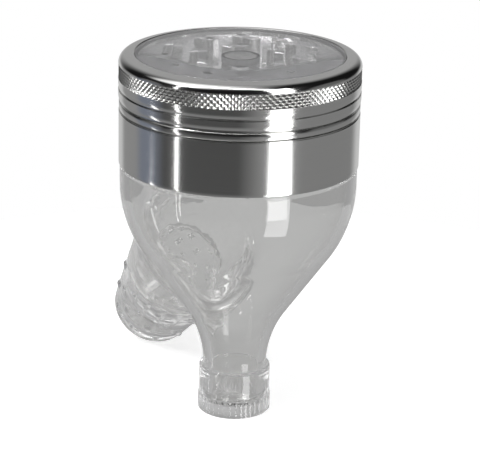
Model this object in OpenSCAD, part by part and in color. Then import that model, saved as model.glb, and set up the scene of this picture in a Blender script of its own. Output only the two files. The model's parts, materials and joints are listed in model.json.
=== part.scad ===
// Hand grinder with a windowed lid, on a glass vessel with two capped outlets.
// Millimetres, +Z up. The origin is on the vessel's axis, at the underside of the neck cap.
// The side arm points to the back and a little to the left: +Y is back, +X is right.

/* [Overall sizes] */
// Outside diameter of the knurled lid
lid_d = 63; // [56:0.5:80]
// Height of the lid, from its skirt's lower edge to the window's top face
lid_h = 12.2; // [10.5:0.1:16]
// Straight length of the glass neck under the funnel
neck_len = 8.4; // [6:0.1:14]
// Outside radius of the glass neck and of the side arm's spigot
neck_r = 8.45; // [7:0.05:11]

/* [Glass vessel] */
// Wall of the glass
glass_wall = 2.4; // [1.6:0.1:3.2]
// Radius of the curve from the neck into the funnel
throat_arc = 28.5; // [20:0.5:45]
// Radius of the curve from the funnel into the body
shoulder_arc = 33; // [20:1:40]
// Slope of the funnel's side, from upright
funnel_angle = 35; // [30:1:42]
// Straight length of the body above the shoulder
body_len = 5.4; // [2:0.1:12]
// Height of the ground mouth inside the coupling band
mouth_h = 9.5; // [6:0.1:14]
// How far the glass body stays inside the band's outside
body_inset = 0.3; // [0.1:0.05:0.6]

/* [Side arm] */
// Turn of the arm from straight back, towards the left
arm_turn = 25; // [0:1:50]
// Slope of the arm's axis below the level
arm_tilt = 44; // [38:1:52]
// Depth of the point where the two axes meet, below the top of the shoulder
arm_drop = 0.3; // [0:0.1:5]
// Growth of the arm's radius for each millimetre towards the body
arm_taper = 0.125; // [0.08:0.005:0.15]
// Length of the straight spigot inside the side cap
spigot_len = 9; // [6:0.5:12]
// Width of the glass shoulder that the side cap closes on
arm_shoulder = 2; // [1.6:0.1:3]

/* [Side cap] */
// Outside radius of the cap at its end
side_end_r = 11.7; // [11:0.1:15]
// Length of the cap along the arm
side_cap_len = 26; // [20:0.5:34]
// Radius of the rounded edge of the cap's end
side_edge = 0.4; // [0.2:0.1:0.8]
// Thickness of the cap's end
side_end_t = 2.2; // [1.2:0.1:3]
// Wall of the cap at its mouth
side_mouth_wall = 1.5; // [1:0.1:1.8]
// Radius of one stud
stud_r = 1; // [0.6:0.05:1.3]
// Distance from the cap's end to its first ring of studs
stud_first_s = 4; // [3.2:0.1:6]
// Radius of the ring of studs on the end
end_ring_r = 5.85; // [4.5:0.05:8]
// Distance from the cap's end to the turned line round it
line_s = 1.6; // [1:0.1:2]
// Width of that line
line_w = 0.5; // [0.3:0.05:0.7]
// Depth of that line
line_depth = 0.25; // [0.1:0.05:0.4]
// Part of a stud's radius that stands out
stud_proud = 0.6; // [0.3:0.05:0.8]
// Studs in each ring round the side
studs_round = 10; // [6:1:12]
// Distance between the rings of studs
stud_ring_step = 6; // [4:0.5:9]
// Studs on the end
end_studs = 8; // [4:1:9]

/* [Neck cap] */
// Wall of the cap's smooth skirt
neck_skirt_wall = 0.9; // [0.7:0.05:1.5]
// Thickness of the solid base
neck_cap_floor = 3.2; // [1.5:0.1:5]
// Height of the ribbed base
rib_h = 4.6; // [3:0.1:7]
// Number of ribs
rib_count = 36; // [18:1:40]
// Step from the skirt out to the ribbed base
rib_step = 0.2; // [0.1:0.05:0.4]
// Radius of one rib
rib_r = 0.35; // [0.25:0.05:0.4]
// Thickness of each cap's liner
liner_t = 1; // [0.6:0.1:1.6]

/* [Coupling band] */
// Wall of the band's skirt round the glass mouth
band_skirt = 0.95; // [0.8:0.05:1.5]
// Height of the band's threaded part
thread_h = 4; // [3:0.1:6]
// Width of the band's inner shoulder over the glass rim
thread_land = 0.8; // [0.6:0.1:1.5]
// Thickness of the flat seal on the glass rim
band_seal_t = 0.8; // [0.5:0.1:1.2]
// Width of the seat of the gasket under the chamber's flange
gasket_w = 1.4; // [1:0.1:2]
// Thickness of the gasket under the chamber's flange
gasket_t = 1; // [0.6:0.1:1.4]
// Gap that shows between the band and the flange
seam_gap = 0.2; // [0.1:0.05:0.4]

/* [Tooth chamber] */
// Thickness of the flange that shows between the band and the lid
flange_t = 2.1; // [1.5:0.1:3.5]
// Broken upper edge of the flange
flange_edge = 0.1; // [0.05:0.05:0.3]
// Thickness of the drilled floor
floor_t = 2.5; // [1.5:0.1:3.5]
// Wall of the threaded spigot and of the guide wall
chamber_wall = 2.4; // [1.6:0.1:2.8]
// Length of the spigot below the floor
spigot_drop = 6; // [5:0.1:9]
// Radius of one drilled hole
hole_r = 1.9; // [1:0.1:2]
// Distance along a ring from one hole to the next
hole_step = 6.8; // [5:0.1:9]
// Radius of the centre post
post_r = 5; // [4:0.1:5.5]
// Radius of the post's tail in the floor
post_tail_r = 3; // [2:0.1:3.5]

/* [Teeth] */
// Length of a tooth along its ring
tooth_len = 5; // [3.5:0.1:5.5]
// Width of a tooth across its ring
tooth_w = 3.2; // [2.4:0.1:3.3]
// Gap between one ring of teeth and the next
ring_gap = 0.8; // [0.5:0.05:1.2]
// Distance along a ring from one tooth to the next
tooth_step = 10.5; // [9:0.1:14]
// Gap between a tooth's tip and the face opposite
tip_gap = 1.1; // [0.6:0.1:2]

/* [Lid] */
// Wall of the lid's skirt
lid_wall = 2.55; // [2.2:0.05:3.5]
// Width of the rim round the window
window_inset = 4.3; // [3.9:0.05:5]
// Thickness of the window
window_t = 3; // [2:0.1:4]
// Thickness of the gasket under the window
window_gasket_t = 0.6; // [0.4:0.1:1]
// Thickness of the ledge under that gasket
ledge_t = 1.2; // [0.8:0.1:1.6]
// Width of the ledge
ledge_w = 1.3; // [1:0.05:1.6]
// Radius of the polished outer edge
edge_round = 2.4; // [0.5:0.1:2.8]
// Fall of the rim's top face, from the window to the rounded edge
rim_fall = 0.25; // [0:0.05:0.5]
// Height of the knurled band
knurl_h = 3.65; // [3:0.05:5.5]
// Plain land between the knurled band and the polished edge
knurl_land = 0.1; // [0.1:0.05:0.5]
// Depth of the knurled band's grooves
knurl_depth = 0.35; // [0.2:0.05:0.5]
// Height of the turned groove above the skirt's lower edge
groove_h = 3.1; // [2.4:0.1:3.4]
// Width of the turned groove
groove_w = 0.55; // [0.3:0.05:0.8]
// Depth of the turned groove
groove_depth = 0.45; // [0.2:0.05:0.5]

/* [Friction ring and magnets] */
// Height of the nylon friction ring
ring_h = 2; // [1.2:0.1:2.2]
// Height of the friction ring's groove above the skirt's lower edge
ring_groove_h = 1.6; // [1:0.1:2.5]
// Depth of its groove in the lid's bore
ring_groove = 0.7; // [0.4:0.05:0.8]
// Radius of the magnet in the post
post_magnet_r = 3.2; // [2:0.1:4]
// Thickness of the magnet in the post
post_magnet_t = 2; // [1:0.1:3]
// Depth of the magnet cup under the window
cup_h = 1.6; // [1.2:0.1:2]
// Wall of the magnet cup
cup_wall = 0.8; // [0.5:0.1:1.2]
// Gap between the cup and the post
magnet_gap = 0.6; // [0.4:0.1:1]

/* [Clearances] */
// Between threaded pieces, on the radius
thread_clear = 0.3; // [0.15:0.05:0.4]
// Between a screw cap and the glass in it, on the radius
cap_clear = 0.2; // [0.1:0.05:0.3]
// Between pieces that turn or slide on each other, on the radius
run_clear = 0.07; // [0.03:0.01:0.12]
// Between pieces that are bonded or bedded, on the radius
bond_gap = 0.1; // [0.05:0.05:0.2]
// Between the lid and the flange, and between the lid and the guide wall
lid_gap = 0.25; // [0.15:0.05:0.5]
// Between a cap's floor and its liner
liner_gap = 0.05; // [0.02:0.01:0.1]

/* [Hidden] */
$fn = 96;

// Small shared values
eps = 1;                // how far a cutting solid runs past the face that it cuts
chamfer = 0.3;          // broken edge of a turned piece
arc_steps = 10;         // straight pieces in a curved outline

// Radii, from the lid inwards
lid_r = lid_d / 2;
lid_bore_r = lid_r - lid_wall;
ring_in_r = lid_bore_r - lid_gap;
guide_r = ring_in_r - run_clear;
guide_in_r = guide_r - chamber_wall;
window_r = lid_r - window_inset;
seat_r = window_r + bond_gap;
ledge_r = seat_r - ledge_w;
flange_r = lid_r - body_inset / 2;
band_r = lid_r - bond_gap;
band_in_r = band_r - band_skirt;
mouth_r = band_in_r - bond_gap;
body_r = band_r - body_inset;
mouth_in_r = body_r - glass_wall;
thread_bore_r = mouth_in_r - thread_land;
spigot_r = thread_bore_r - thread_clear;
spigot_in_r = spigot_r - chamber_wall;

// Heights, from the neck cap upwards
neck_rim_z = neck_cap_floor + liner_t;
throat_z = neck_rim_z + neck_len;
funnel_low_r = neck_r + throat_arc * (1 - cos(funnel_angle));
funnel_high_r = body_r - shoulder_arc * (1 - cos(funnel_angle));
funnel_len = (funnel_high_r - funnel_low_r) / tan(funnel_angle);
shoulder_z = throat_z + (throat_arc + shoulder_arc) * sin(funnel_angle) + funnel_len;
body_top_z = shoulder_z + body_len;
mouth_z = body_top_z + mouth_h;
band_ledge_z = mouth_z + band_seal_t;
band_top_z = band_ledge_z + thread_h;
flange_z = band_top_z + seam_gap;
floor_top_z = flange_z + flange_t;
floor_z = floor_top_z - floor_t;
lid_z = floor_top_z + lid_gap;
top_z = lid_z + lid_h;
window_z = top_z - window_t;
ledge_top_z = window_z - window_gasket_t;
ledge_z = ledge_top_z - ledge_t;
guide_top_z = ledge_z - 2 * lid_gap;
cup_z = window_z - cup_h;
post_top_z = cup_z - magnet_gap;
cup_floor_z = cup_z + cup_wall / 2;
cup_in_r = post_r - cup_wall;

// Rings of teeth, from the outermost inwards: even rings stand, odd rings hang
ring_step = tooth_w + ring_gap;
outer_ring_r = guide_in_r - 1.5 * ring_gap - tooth_w / 2;
inner_ring_limit = post_r + tooth_w / 2 + 3 * ring_gap;
last_ring = floor((outer_ring_r - inner_ring_limit) / ring_step);
tooth_h = window_z - floor_top_z - tip_gap;
function ring_radius(i) = outer_ring_r - i * ring_step;

// The side arm: its axis runs down and back from arm_z on the vessel's axis
arm_z = shoulder_z - arm_drop;
// Height of the centre of the cap's end, at which its rim just touches the ground
side_end_z = (side_end_r - side_edge) * cos(arm_tilt) + side_edge * (1 - sin(arm_tilt));
arm_len = (arm_z - side_end_z) / sin(arm_tilt);
side_rim_s = side_end_t + liner_t;
arm_shoulder_s = side_cap_len + lid_gap;
function arm_r(s) = side_end_r + arm_taper * s;
flare_s = side_rim_s + spigot_len;
flare_r = arm_r(arm_shoulder_s) - arm_shoulder;
cap_bore_r = neck_r + cap_clear;

// Neck cap
neck_skirt_r = cap_bore_r + neck_skirt_wall;
rib_ring_r = neck_skirt_r + rib_step;
neck_cap_h = throat_z + cap_clear;

// Points of an arc about [cr, cz], from angle a0 to a1
function arc_points(cr, cz, r, a0, a1) =
    [for (i = [0:arc_steps])
        let (a = a0 + (a1 - a0) * i / arc_steps) [cr + r * cos(a), cz + r * sin(a)]];

// Outline of the vessel's side, moved inwards by the distance given
function vessel_side(inwards) = concat(
    arc_points(neck_r + throat_arc, throat_z, throat_arc + inwards, 180, 180 - funnel_angle),
    arc_points(body_r - shoulder_arc, shoulder_z, shoulder_arc - inwards, -funnel_angle, 0));

// A turned solid from an outline of [radius, height] points
module turned(points) {
    rotate_extrude() polygon(points);
}

// A flat ring
module ring(outer_r, inner_r, z, h) {
    translate([0, 0, z]) difference() {
        cylinder(r = outer_r, h = h);
        translate([0, 0, -eps]) cylinder(r = inner_r, h = h + 2 * eps);
    }
}

// Children are placed at the end of the side arm, with +Z pointing out along the arm
module at_arm_end() {
    translate([0, 0, arm_z])
        rotate([-(90 + arm_tilt), 0, arm_turn])
            translate([0, 0, arm_len]) children();
}

// ---- Glass vessel ----

module vessel_outside() {
    turned(concat([[0, neck_rim_z], [neck_r, neck_rim_z]], vessel_side(0),
        [[body_r, body_top_z], [mouth_r, body_top_z], [mouth_r, mouth_z], [0, mouth_z]]));
}

module vessel_inside() {
    turned(concat([[0, neck_rim_z - eps], [neck_r - glass_wall, neck_rim_z - eps]],
        vessel_side(glass_wall), [[mouth_in_r, top_z], [0, top_z]]));
}

// The arm's outside: a spigot, a flare inside the cap, a shoulder, and the tapered arm
module arm_outside() {
    at_arm_end() turned([[0, -side_rim_s], [neck_r, -side_rim_s], [neck_r, -flare_s],
        [flare_r, -arm_shoulder_s], [arm_r(arm_shoulder_s), -arm_shoulder_s],
        [arm_r(arm_len), -arm_len], [0, -arm_len]]);
}

module arm_inside() {
    at_arm_end() turned([[0, -side_rim_s + eps], [neck_r - glass_wall, -side_rim_s + eps],
        [neck_r - glass_wall, -flare_s], [flare_r - glass_wall, -arm_shoulder_s],
        [arm_r(arm_len) - glass_wall, -arm_len], [0, -arm_len]]);
}

module bottle() {
    color([0.86, 0.89, 0.90, 0.45]) difference() {
        union() {
            vessel_outside();
            arm_outside();
        }
        vessel_inside();
        arm_inside();
    }
}

// ---- Coupling band and its seal ----

module coupling_band() {
    color([0.76, 0.77, 0.79]) turned([
        [band_in_r, body_top_z], [band_r - chamfer / 2, body_top_z],
        [band_r, body_top_z + chamfer / 2], [band_r, band_top_z - chamfer],
        [band_r - chamfer, band_top_z], [thread_bore_r + gasket_w, band_top_z],
        [thread_bore_r + gasket_w, flange_z - gasket_t], [thread_bore_r, flange_z - gasket_t],
        [thread_bore_r, band_ledge_z], [band_in_r, band_ledge_z]]);
}

module band_seal() {
    color([0.92, 0.92, 0.90]) ring(mouth_r, mouth_in_r, mouth_z, band_seal_t);
}

module chamber_gasket() {
    color([0.20, 0.20, 0.21])
        ring(thread_bore_r + gasket_w - bond_gap, thread_bore_r + bond_gap, flange_z - gasket_t, gasket_t);
}

// ---- Tooth chamber ----

module tooth_chamber() {
    color([0.74, 0.75, 0.77]) difference() {
        turned([[0, floor_z], [spigot_in_r, floor_z], [spigot_in_r, floor_z - spigot_drop],
            [spigot_r - chamfer, floor_z - spigot_drop], [spigot_r, floor_z - spigot_drop + chamfer],
            [spigot_r, flange_z], [flange_r - chamfer, flange_z], [flange_r, flange_z + chamfer],
            [flange_r, floor_top_z - flange_edge], [flange_r - flange_edge, floor_top_z],
            [guide_r, floor_top_z], [guide_r, guide_top_z - chamfer],
            [guide_r - chamfer, guide_top_z], [guide_in_r, guide_top_z],
            [guide_in_r, floor_top_z], [0, floor_top_z]]);
        floor_holes();
        translate([0, 0, floor_z - eps]) cylinder(r = post_tail_r + run_clear / 2, h = floor_t + 2 * eps);
    }
}

// Drilled holes under each ring of hanging teeth
module floor_holes() {
    for (i = [1:2:last_ring]) {
        count = floor(2 * PI * ring_radius(i) / hole_step);
        for (k = [0:count - 1])
            rotate([0, 0, 360 * k / count]) translate([ring_radius(i), 0, floor_z - eps])
                cylinder(r = hole_r, h = floor_t + 2 * eps);
    }
}

// Diamond teeth in one ring, with the first one half a step round
module tooth_ring(i, z) {
    count = floor(2 * PI * ring_radius(i) / tooth_step);
    for (k = [0:count - 1])
        rotate([0, 0, 360 * (k + 0.5) / count]) translate([ring_radius(i), 0, z])
            linear_extrude(tooth_h)
                polygon([[tooth_w / 2, 0], [0, tooth_len / 2], [-tooth_w / 2, 0], [0, -tooth_len / 2]]);
}

module chamber_teeth() {
    color([0.80, 0.81, 0.83]) for (i = [0:2:last_ring]) tooth_ring(i, floor_top_z);
}

module centre_post() {
    color([0.70, 0.71, 0.73]) difference() {
        turned([[0, floor_z], [post_tail_r, floor_z], [post_tail_r, floor_top_z],
            [post_r, floor_top_z], [post_r, post_top_z - chamfer],
            [post_r - chamfer, post_top_z], [0, post_top_z]]);
        translate([0, 0, post_top_z - post_magnet_t])
            cylinder(r = post_magnet_r + bond_gap, h = post_magnet_t + eps);
    }
}

module chamber_magnet() {
    color([0.55, 0.56, 0.58]) translate([0, 0, post_top_z - post_magnet_t])
        cylinder(r = post_magnet_r, h = post_magnet_t);
}

// ---- Lid ----

module lid_ring() {
    knurl_top_z = top_z - rim_fall - edge_round - knurl_land;
    knurl_low_z = knurl_top_z - knurl_h;
    groove_z = lid_z + groove_h;
    knurl_r = lid_r - knurl_depth / 2;
    ring_z = lid_z + ring_groove_h;
    color([0.78, 0.79, 0.81]) turned(concat(
        [[lid_bore_r, lid_z], [lid_r - chamfer, lid_z], [lid_r, lid_z + chamfer],
        [lid_r, groove_z - groove_w / 2], [lid_r - groove_depth, groove_z],
        [lid_r, groove_z + groove_w / 2], [lid_r, knurl_low_z], [knurl_r, knurl_low_z],
        [knurl_r, knurl_top_z], [lid_r, knurl_top_z]],
        arc_points(lid_r - edge_round, top_z - rim_fall - edge_round, edge_round, 0, 90),
        [[seat_r, top_z], [seat_r, ledge_top_z], [ledge_r, ledge_top_z], [ledge_r, ledge_z],
        [lid_bore_r, ledge_z], [lid_bore_r, ring_z + ring_h + bond_gap / 2],
        [lid_bore_r + ring_groove, ring_z + ring_h + bond_gap / 2],
        [lid_bore_r + ring_groove, ring_z - bond_gap / 2], [lid_bore_r, ring_z - bond_gap / 2]]));
}

module friction_ring() {
    color([0.93, 0.93, 0.90])
        ring(lid_bore_r + ring_groove - bond_gap, ring_in_r, lid_z + ring_groove_h, ring_h);
}

module lid_window() {
    color([0.88, 0.90, 0.91, 0.5]) turned([[0, window_z], [window_r, window_z],
        [window_r, top_z - chamfer / 2], [window_r - chamfer / 2, top_z], [0, top_z]]);
}

module window_gasket() {
    color([0.20, 0.20, 0.21]) ring(seat_r - bond_gap, ledge_r + bond_gap, ledge_top_z, window_gasket_t);
}

module lid_teeth() {
    color([0.80, 0.81, 0.83]) for (i = [1:2:last_ring]) tooth_ring(i, window_z - tooth_h);
}

module magnet_cup() {
    color([0.45, 0.46, 0.48]) turned([[0, cup_z], [post_r, cup_z], [post_r, window_z],
        [cup_in_r, window_z], [cup_in_r, cup_floor_z], [0, cup_floor_z]]);
}

module lid_magnet() {
    color([0.55, 0.56, 0.58]) translate([0, 0, cup_floor_z])
        cylinder(r = cup_in_r - bond_gap, h = window_z - cup_floor_z - bond_gap);
}

// ---- Neck cap ----

module neck_cap() {
    round_r = neck_skirt_wall - chamfer;
    color([0.87, 0.89, 0.90, 0.55]) difference() {
        union() {
            turned(concat([[0, 0], [rib_ring_r - chamfer, 0], [rib_ring_r, chamfer],
                [rib_ring_r, rib_h], [neck_skirt_r, rib_h + rib_step]],
                arc_points(neck_skirt_r - round_r, neck_cap_h - round_r, round_r, 0, 90),
                [[0, neck_cap_h]]));
            for (k = [0:rib_count - 1])
                rotate([0, 0, 360 * k / rib_count]) translate([rib_ring_r, 0, chamfer])
                    cylinder(r = rib_r, h = rib_h - 2 * chamfer);
        }
        translate([0, 0, neck_cap_floor]) cylinder(r = cap_bore_r, h = neck_cap_h);
    }
}

module neck_cap_liner() {
    color([0.94, 0.94, 0.92]) translate([0, 0, neck_cap_floor + liner_gap])
        cylinder(r = neck_r, h = liner_t - liner_gap);
}

// ---- Side cap ----

module side_cap() {
    mouth_in = arm_r(side_cap_len) - side_mouth_wall;
    color([0.87, 0.89, 0.90, 0.55]) at_arm_end() difference() {
        union() {
            turned(concat([[0, 0]], arc_points(side_end_r - side_edge, -side_edge, side_edge, 90, 0),
                [[arm_r(line_s), -line_s], [arm_r(line_s) - line_depth, -line_s - line_w / 2],
                [arm_r(line_s + line_w), -line_s - line_w],
                [arm_r(side_cap_len), -side_cap_len], [0, -side_cap_len]]));
            side_studs();
            end_studs_ring();
        }
        turned([[0, -side_end_t], [cap_bore_r, -side_end_t], [cap_bore_r, -flare_s],
            [mouth_in, -side_cap_len], [mouth_in, -side_cap_len - eps], [0, -side_cap_len - eps]]);
    }
}

// Rings of studs round the side, each ring turned half a step from the last
module side_studs() {
    rings = floor((side_cap_len - stud_first_s - 2 * stud_r) / stud_ring_step);
    sink = stud_r * (1 - stud_proud);
    for (i = [0:rings])
        for (k = [0:studs_round - 1])
            rotate([0, 0, 360 * (k + i / 2) / studs_round])
                stud_at(stud_first_s + i * stud_ring_step, sink);
}

// A stud on the cap's side, at the distance s from its end
module stud_at(s, sink) {
    translate([arm_r(s) - sink, 0, -s]) sphere(r = stud_r);
}

module end_studs_ring() {
    for (k = [0:end_studs - 1])
        rotate([0, 0, 360 * k / end_studs]) translate([end_ring_r, 0, -stud_r * (1 - stud_proud)])
            sphere(r = stud_r);
}

module side_cap_liner() {
    color([0.94, 0.94, 0.92]) at_arm_end() translate([0, 0, -side_rim_s])
        cylinder(r = neck_r, h = liner_t - liner_gap);
}

bottle();
coupling_band();
band_seal();
chamber_gasket();
tooth_chamber();
chamber_teeth();
centre_post();
chamber_magnet();
friction_ring();
lid_ring();
lid_window();
window_gasket();
lid_teeth();
magnet_cup();
lid_magnet();
neck_cap();
neck_cap_liner();
side_cap();
side_cap_liner();
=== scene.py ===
"""Looks of a hand grinder on a glass vessel, laid out as an add-on and run as a script.

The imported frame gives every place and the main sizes. Each new piece is a surface worked out
with numpy: an outline turned round an axis, or the skin of a field of distances.
"""

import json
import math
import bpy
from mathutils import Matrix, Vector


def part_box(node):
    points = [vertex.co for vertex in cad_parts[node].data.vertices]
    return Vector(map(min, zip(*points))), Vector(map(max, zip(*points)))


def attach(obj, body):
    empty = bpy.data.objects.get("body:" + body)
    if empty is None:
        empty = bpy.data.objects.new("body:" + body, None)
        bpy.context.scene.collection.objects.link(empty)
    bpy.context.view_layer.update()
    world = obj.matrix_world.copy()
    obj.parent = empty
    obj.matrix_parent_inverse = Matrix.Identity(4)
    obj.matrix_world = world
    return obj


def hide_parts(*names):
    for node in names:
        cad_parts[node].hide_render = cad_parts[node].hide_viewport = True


bl_info = {
    "name": "Glass Vessel Grinder",
    "version": (1, 0, 0),
    "blender": (4, 5, 0),
    "location": "View3D > Sidebar > Grinder",
    "description": "Builds a windowed hand grinder on a glass vessel with two capped outlets",
    "category": "Object",
}

import bmesh
import bpy
import numpy as np
from mathutils import Matrix, Vector

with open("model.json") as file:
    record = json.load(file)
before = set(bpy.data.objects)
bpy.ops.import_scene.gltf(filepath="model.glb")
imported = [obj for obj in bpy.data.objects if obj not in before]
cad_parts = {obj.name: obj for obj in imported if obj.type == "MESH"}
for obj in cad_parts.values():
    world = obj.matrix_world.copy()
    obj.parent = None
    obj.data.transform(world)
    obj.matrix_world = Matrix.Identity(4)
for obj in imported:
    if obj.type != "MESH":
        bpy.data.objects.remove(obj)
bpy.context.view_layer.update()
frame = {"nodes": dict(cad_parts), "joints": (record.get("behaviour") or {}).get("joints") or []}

MM = 0.001
TURN = 2 * math.pi


# ---- Sizes that come from the frame ----

def low_z(node):
    """Height of a node's lowest point."""
    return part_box(node)[0].z


def high_z(node):
    """Height of a node's highest point."""
    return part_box(node)[1].z


def out_r(node):
    """Outside radius of a node that is turned about the vertical axis."""
    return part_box(node)[1].x


def joint(name):
    """The frame's joint of that name."""
    return next(j for j in frame["joints"] if j["name"] == name)


LID_R = out_r("lid_ring")
LID_LOW = low_z("lid_ring")
LID_TOP = high_z("lid_ring")
WINDOW_R = out_r("lid_window")
WINDOW_LOW = low_z("lid_window")
BAND_R = out_r("coupling_band")
BAND_LOW = low_z("coupling_band")
BAND_TOP = high_z("coupling_band")
MOUTH_R = out_r("band_seal")
MOUTH_TOP = low_z("band_seal")
NECK_R = out_r("neck_cap_liner")
NECK_RIM = high_z("neck_cap_liner")
NECK_CAP_TOP = high_z("neck_cap")
ARM_END = np.array(joint("side_cap_turn")["pos_m"])
ARM_OUT = np.array(joint("side_cap_turn")["axis"])

# Sizes that the frame doesn't hold, as the pieces were drawn

# Gaps between pieces
BOND_GAP = 0.1 * MM
LID_GAP = 0.25 * MM
CAP_CLEAR = 0.2 * MM

# Vessel: its side steps in to the mouth from a part of the bevel's height below the band
GLASS_WALL = 2.4 * MM
BODY_R = BAND_R - 0.3 * MM
BAND_BEVEL = 1.1 * MM
STEP_START = 0.4
RIM_ROUND = 1.0 * MM
THROAT_ARC = 28.5 * MM
SHOULDER_ARC = 33 * MM
FUNNEL_ANGLE = math.radians(35)
THROAT_Z = NECK_CAP_TOP - CAP_CLEAR
SHOULDER_Z = BAND_LOW - 5.4 * MM

# Caps
NECK_CAP_WALL = 0.9 * MM
BASE_STEP = 0.08 * MM
SIDE_CAP_LEN = 26 * MM
SIDE_END_T = 2.2 * MM
LINER_T = 1 * MM

# Side arm: a distance along it is S, and runs from the outer end of its cap
ARM_END_R = 11.7 * MM
ARM_TAPER = 0.125
ARM_RIM_S = SIDE_END_T + LINER_T
ARM_FLARE_S = ARM_RIM_S + 9 * MM
ARM_SHOULDER_S = SIDE_CAP_LEN + LID_GAP
ARM_SHOULDER = 2 * MM
ARM_LEN = (SHOULDER_Z - 0.3 * MM - ARM_END[2]) / -ARM_OUT[2]

# Lid
LID_BORE_R = LID_R - 2.55 * MM
WINDOW_SEAT_R = WINDOW_R + BOND_GAP


# ---- What a user would change ----

class GrinderSizes(bpy.types.PropertyGroup):
    """Sizes of the grinder's visible detail."""

    glass_wall: bpy.props.FloatProperty(
        name="Glass wall", description="Thickness of the vessel's glass",
        default=GLASS_WALL, min=1.6 * MM, max=3.2 * MM, subtype="DISTANCE", unit="LENGTH")
    fillet: bpy.props.FloatProperty(
        name="Arm fillet", description="How softly the side arm runs into the vessel",
        default=9 * MM, min=2 * MM, max=14 * MM, subtype="DISTANCE", unit="LENGTH")
    glass_grid: bpy.props.FloatProperty(
        name="Glass grid", description="Spacing of the grid that the glass skin is found on",
        default=0.72 * MM, min=0.6 * MM, max=2 * MM, subtype="DISTANCE", unit="LENGTH")
    knurls: bpy.props.IntProperty(
        name="Knurls", description="Diamonds round the lid's knurled band",
        default=120, min=60, max=160)
    knurl_pitch: bpy.props.FloatProperty(
        name="Knurl pitch", description="Height of one diamond of the knurled band",
        default=1.56 * MM, min=1 * MM, max=2.4 * MM, subtype="DISTANCE", unit="LENGTH")
    knurl_depth: bpy.props.FloatProperty(
        name="Knurl depth", description="Depth of the knurled band's grooves",
        default=0.46 * MM, min=0.1 * MM, max=0.5 * MM, subtype="DISTANCE", unit="LENGTH")
    ribs: bpy.props.IntProperty(
        name="Ribs", description="Ribs round the base of the neck cap",
        default=36, min=18, max=48)
    stud_radius: bpy.props.FloatProperty(
        name="Stud radius", description="Radius of one stud on the side cap",
        default=1.15 * MM, min=0.6 * MM, max=1.3 * MM, subtype="DISTANCE", unit="LENGTH")
    studs_round: bpy.props.IntProperty(
        name="Studs round", description="Studs in each ring round the side cap",
        default=10, min=6, max=14)


class GrinderColours(bpy.types.PropertyGroup):
    """Colours of the grinder's materials."""

    glass: bpy.props.FloatVectorProperty(
        name="Glass", description="Tint of the vessel's glass",
        default=(0.965, 0.965, 0.96), min=0, max=1, size=3, subtype="COLOR")
    window: bpy.props.FloatVectorProperty(
        name="Window", description="Tint of the lid's window",
        default=(0.77, 0.77, 0.78), min=0, max=1, size=3, subtype="COLOR")
    cap: bpy.props.FloatVectorProperty(
        name="Caps", description="Tint of the two clear caps",
        default=(0.965, 0.965, 0.965), min=0, max=1, size=3, subtype="COLOR")
    metal: bpy.props.FloatVectorProperty(
        name="Aluminium", description="Colour of the turned aluminium",
        default=(0.76, 0.76, 0.75), min=0, max=1, size=3, subtype="COLOR")
    rubber: bpy.props.FloatVectorProperty(
        name="Rubber", description="Colour of the dark gaskets",
        default=(0.035, 0.035, 0.037), min=0, max=1, size=3, subtype="COLOR")
    nylon: bpy.props.FloatVectorProperty(
        name="Nylon", description="Colour of the friction ring",
        default=(0.78, 0.78, 0.74), min=0, max=1, size=3, subtype="COLOR")


def sizes():
    """The scene's grinder sizes."""
    return bpy.context.scene.grinder_sizes


def colours():
    """The scene's grinder colours."""
    return bpy.context.scene.grinder_colours


# ---- Meshes ----

def object_of(name, mesh, materials, sharp):
    """An object of a mesh, smooth but for the edges whose faces meet at over the sharp angle."""
    mesh.shade_smooth()
    mesh.set_sharp_from_angle(angle=math.radians(sharp))
    mesh.materials.clear()
    for mat in materials:
        mesh.materials.append(mat)
    obj = bpy.data.objects.new(name, mesh)
    bpy.context.scene.collection.objects.link(obj)
    return obj


def piece_from(name, points, faces, materials, sharp=30.0):
    """An object at the origin from an array of points and lists of faces."""
    mesh = bpy.data.meshes.new(name)
    mesh.from_pydata(np.asarray(points, float).tolist(), [], faces)
    mesh.validate()
    return object_of(name, mesh, materials, sharp)


def solid_from(name, points, faces, materials, sharp=30.0):
    """A closed piece from points and faces, with its faces turned to point outwards."""
    obj = piece_from(name, points, faces, materials, sharp)
    work = bmesh.new()
    work.from_mesh(obj.data)
    bmesh.ops.recalc_face_normals(work, faces=work.faces[:])
    work.to_mesh(obj.data)
    work.free()
    return obj


def place(obj, body, nodes, slot):
    """The piece rides on a body and stands for its nodes. Its slot is not used."""
    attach(obj, body)
    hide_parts(*nodes)


def grid_faces(rows, columns, loop_rows):
    """Quads between neighbouring rows and columns of a grid whose columns go right round.

    Where loop_rows is true the last row also joins the first, as in a ring's outline.
    """
    row_count = rows if loop_rows else rows - 1
    r, c = np.meshgrid(np.arange(row_count), np.arange(columns), indexing="ij")
    r2 = (r + 1) % rows
    c2 = (c + 1) % columns
    quads = np.stack([r * columns + c, r * columns + c2, r2 * columns + c2, r2 * columns + c], -1)
    return quads.reshape(-1, 4)


def turned_points(outline, columns):
    """Grid of points: an outline of (radius, height) rows, turned about the vertical axis.

    x is the radius times the cosine of the turn, and y the radius times its sine.
    """
    outline = np.asarray(outline, float)
    angle = np.arange(columns) * TURN / columns
    radius = outline[:, :1]
    x = radius * np.cos(angle)
    y = radius * np.sin(angle)
    z = np.repeat(outline[:, 1:2], columns, axis=1)
    return np.stack([x, y, z], -1)


def capped(grid, first, last):
    """Points and faces of a grid closed at its first and last rows by two points on the axis."""
    rows, columns = grid.shape[:2]
    points = np.concatenate([grid.reshape(-1, 3), [first], [last]])
    faces = grid_faces(rows, columns, False).tolist()
    c = np.arange(columns)
    c2 = (c + 1) % columns
    pole = rows * columns
    top = (rows - 1) * columns
    faces += np.stack([c2, c, np.full(columns, pole)], -1).tolist()
    faces += np.stack([top + c, top + c2, np.full(columns, pole + 1)], -1).tolist()
    return points, faces


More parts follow.
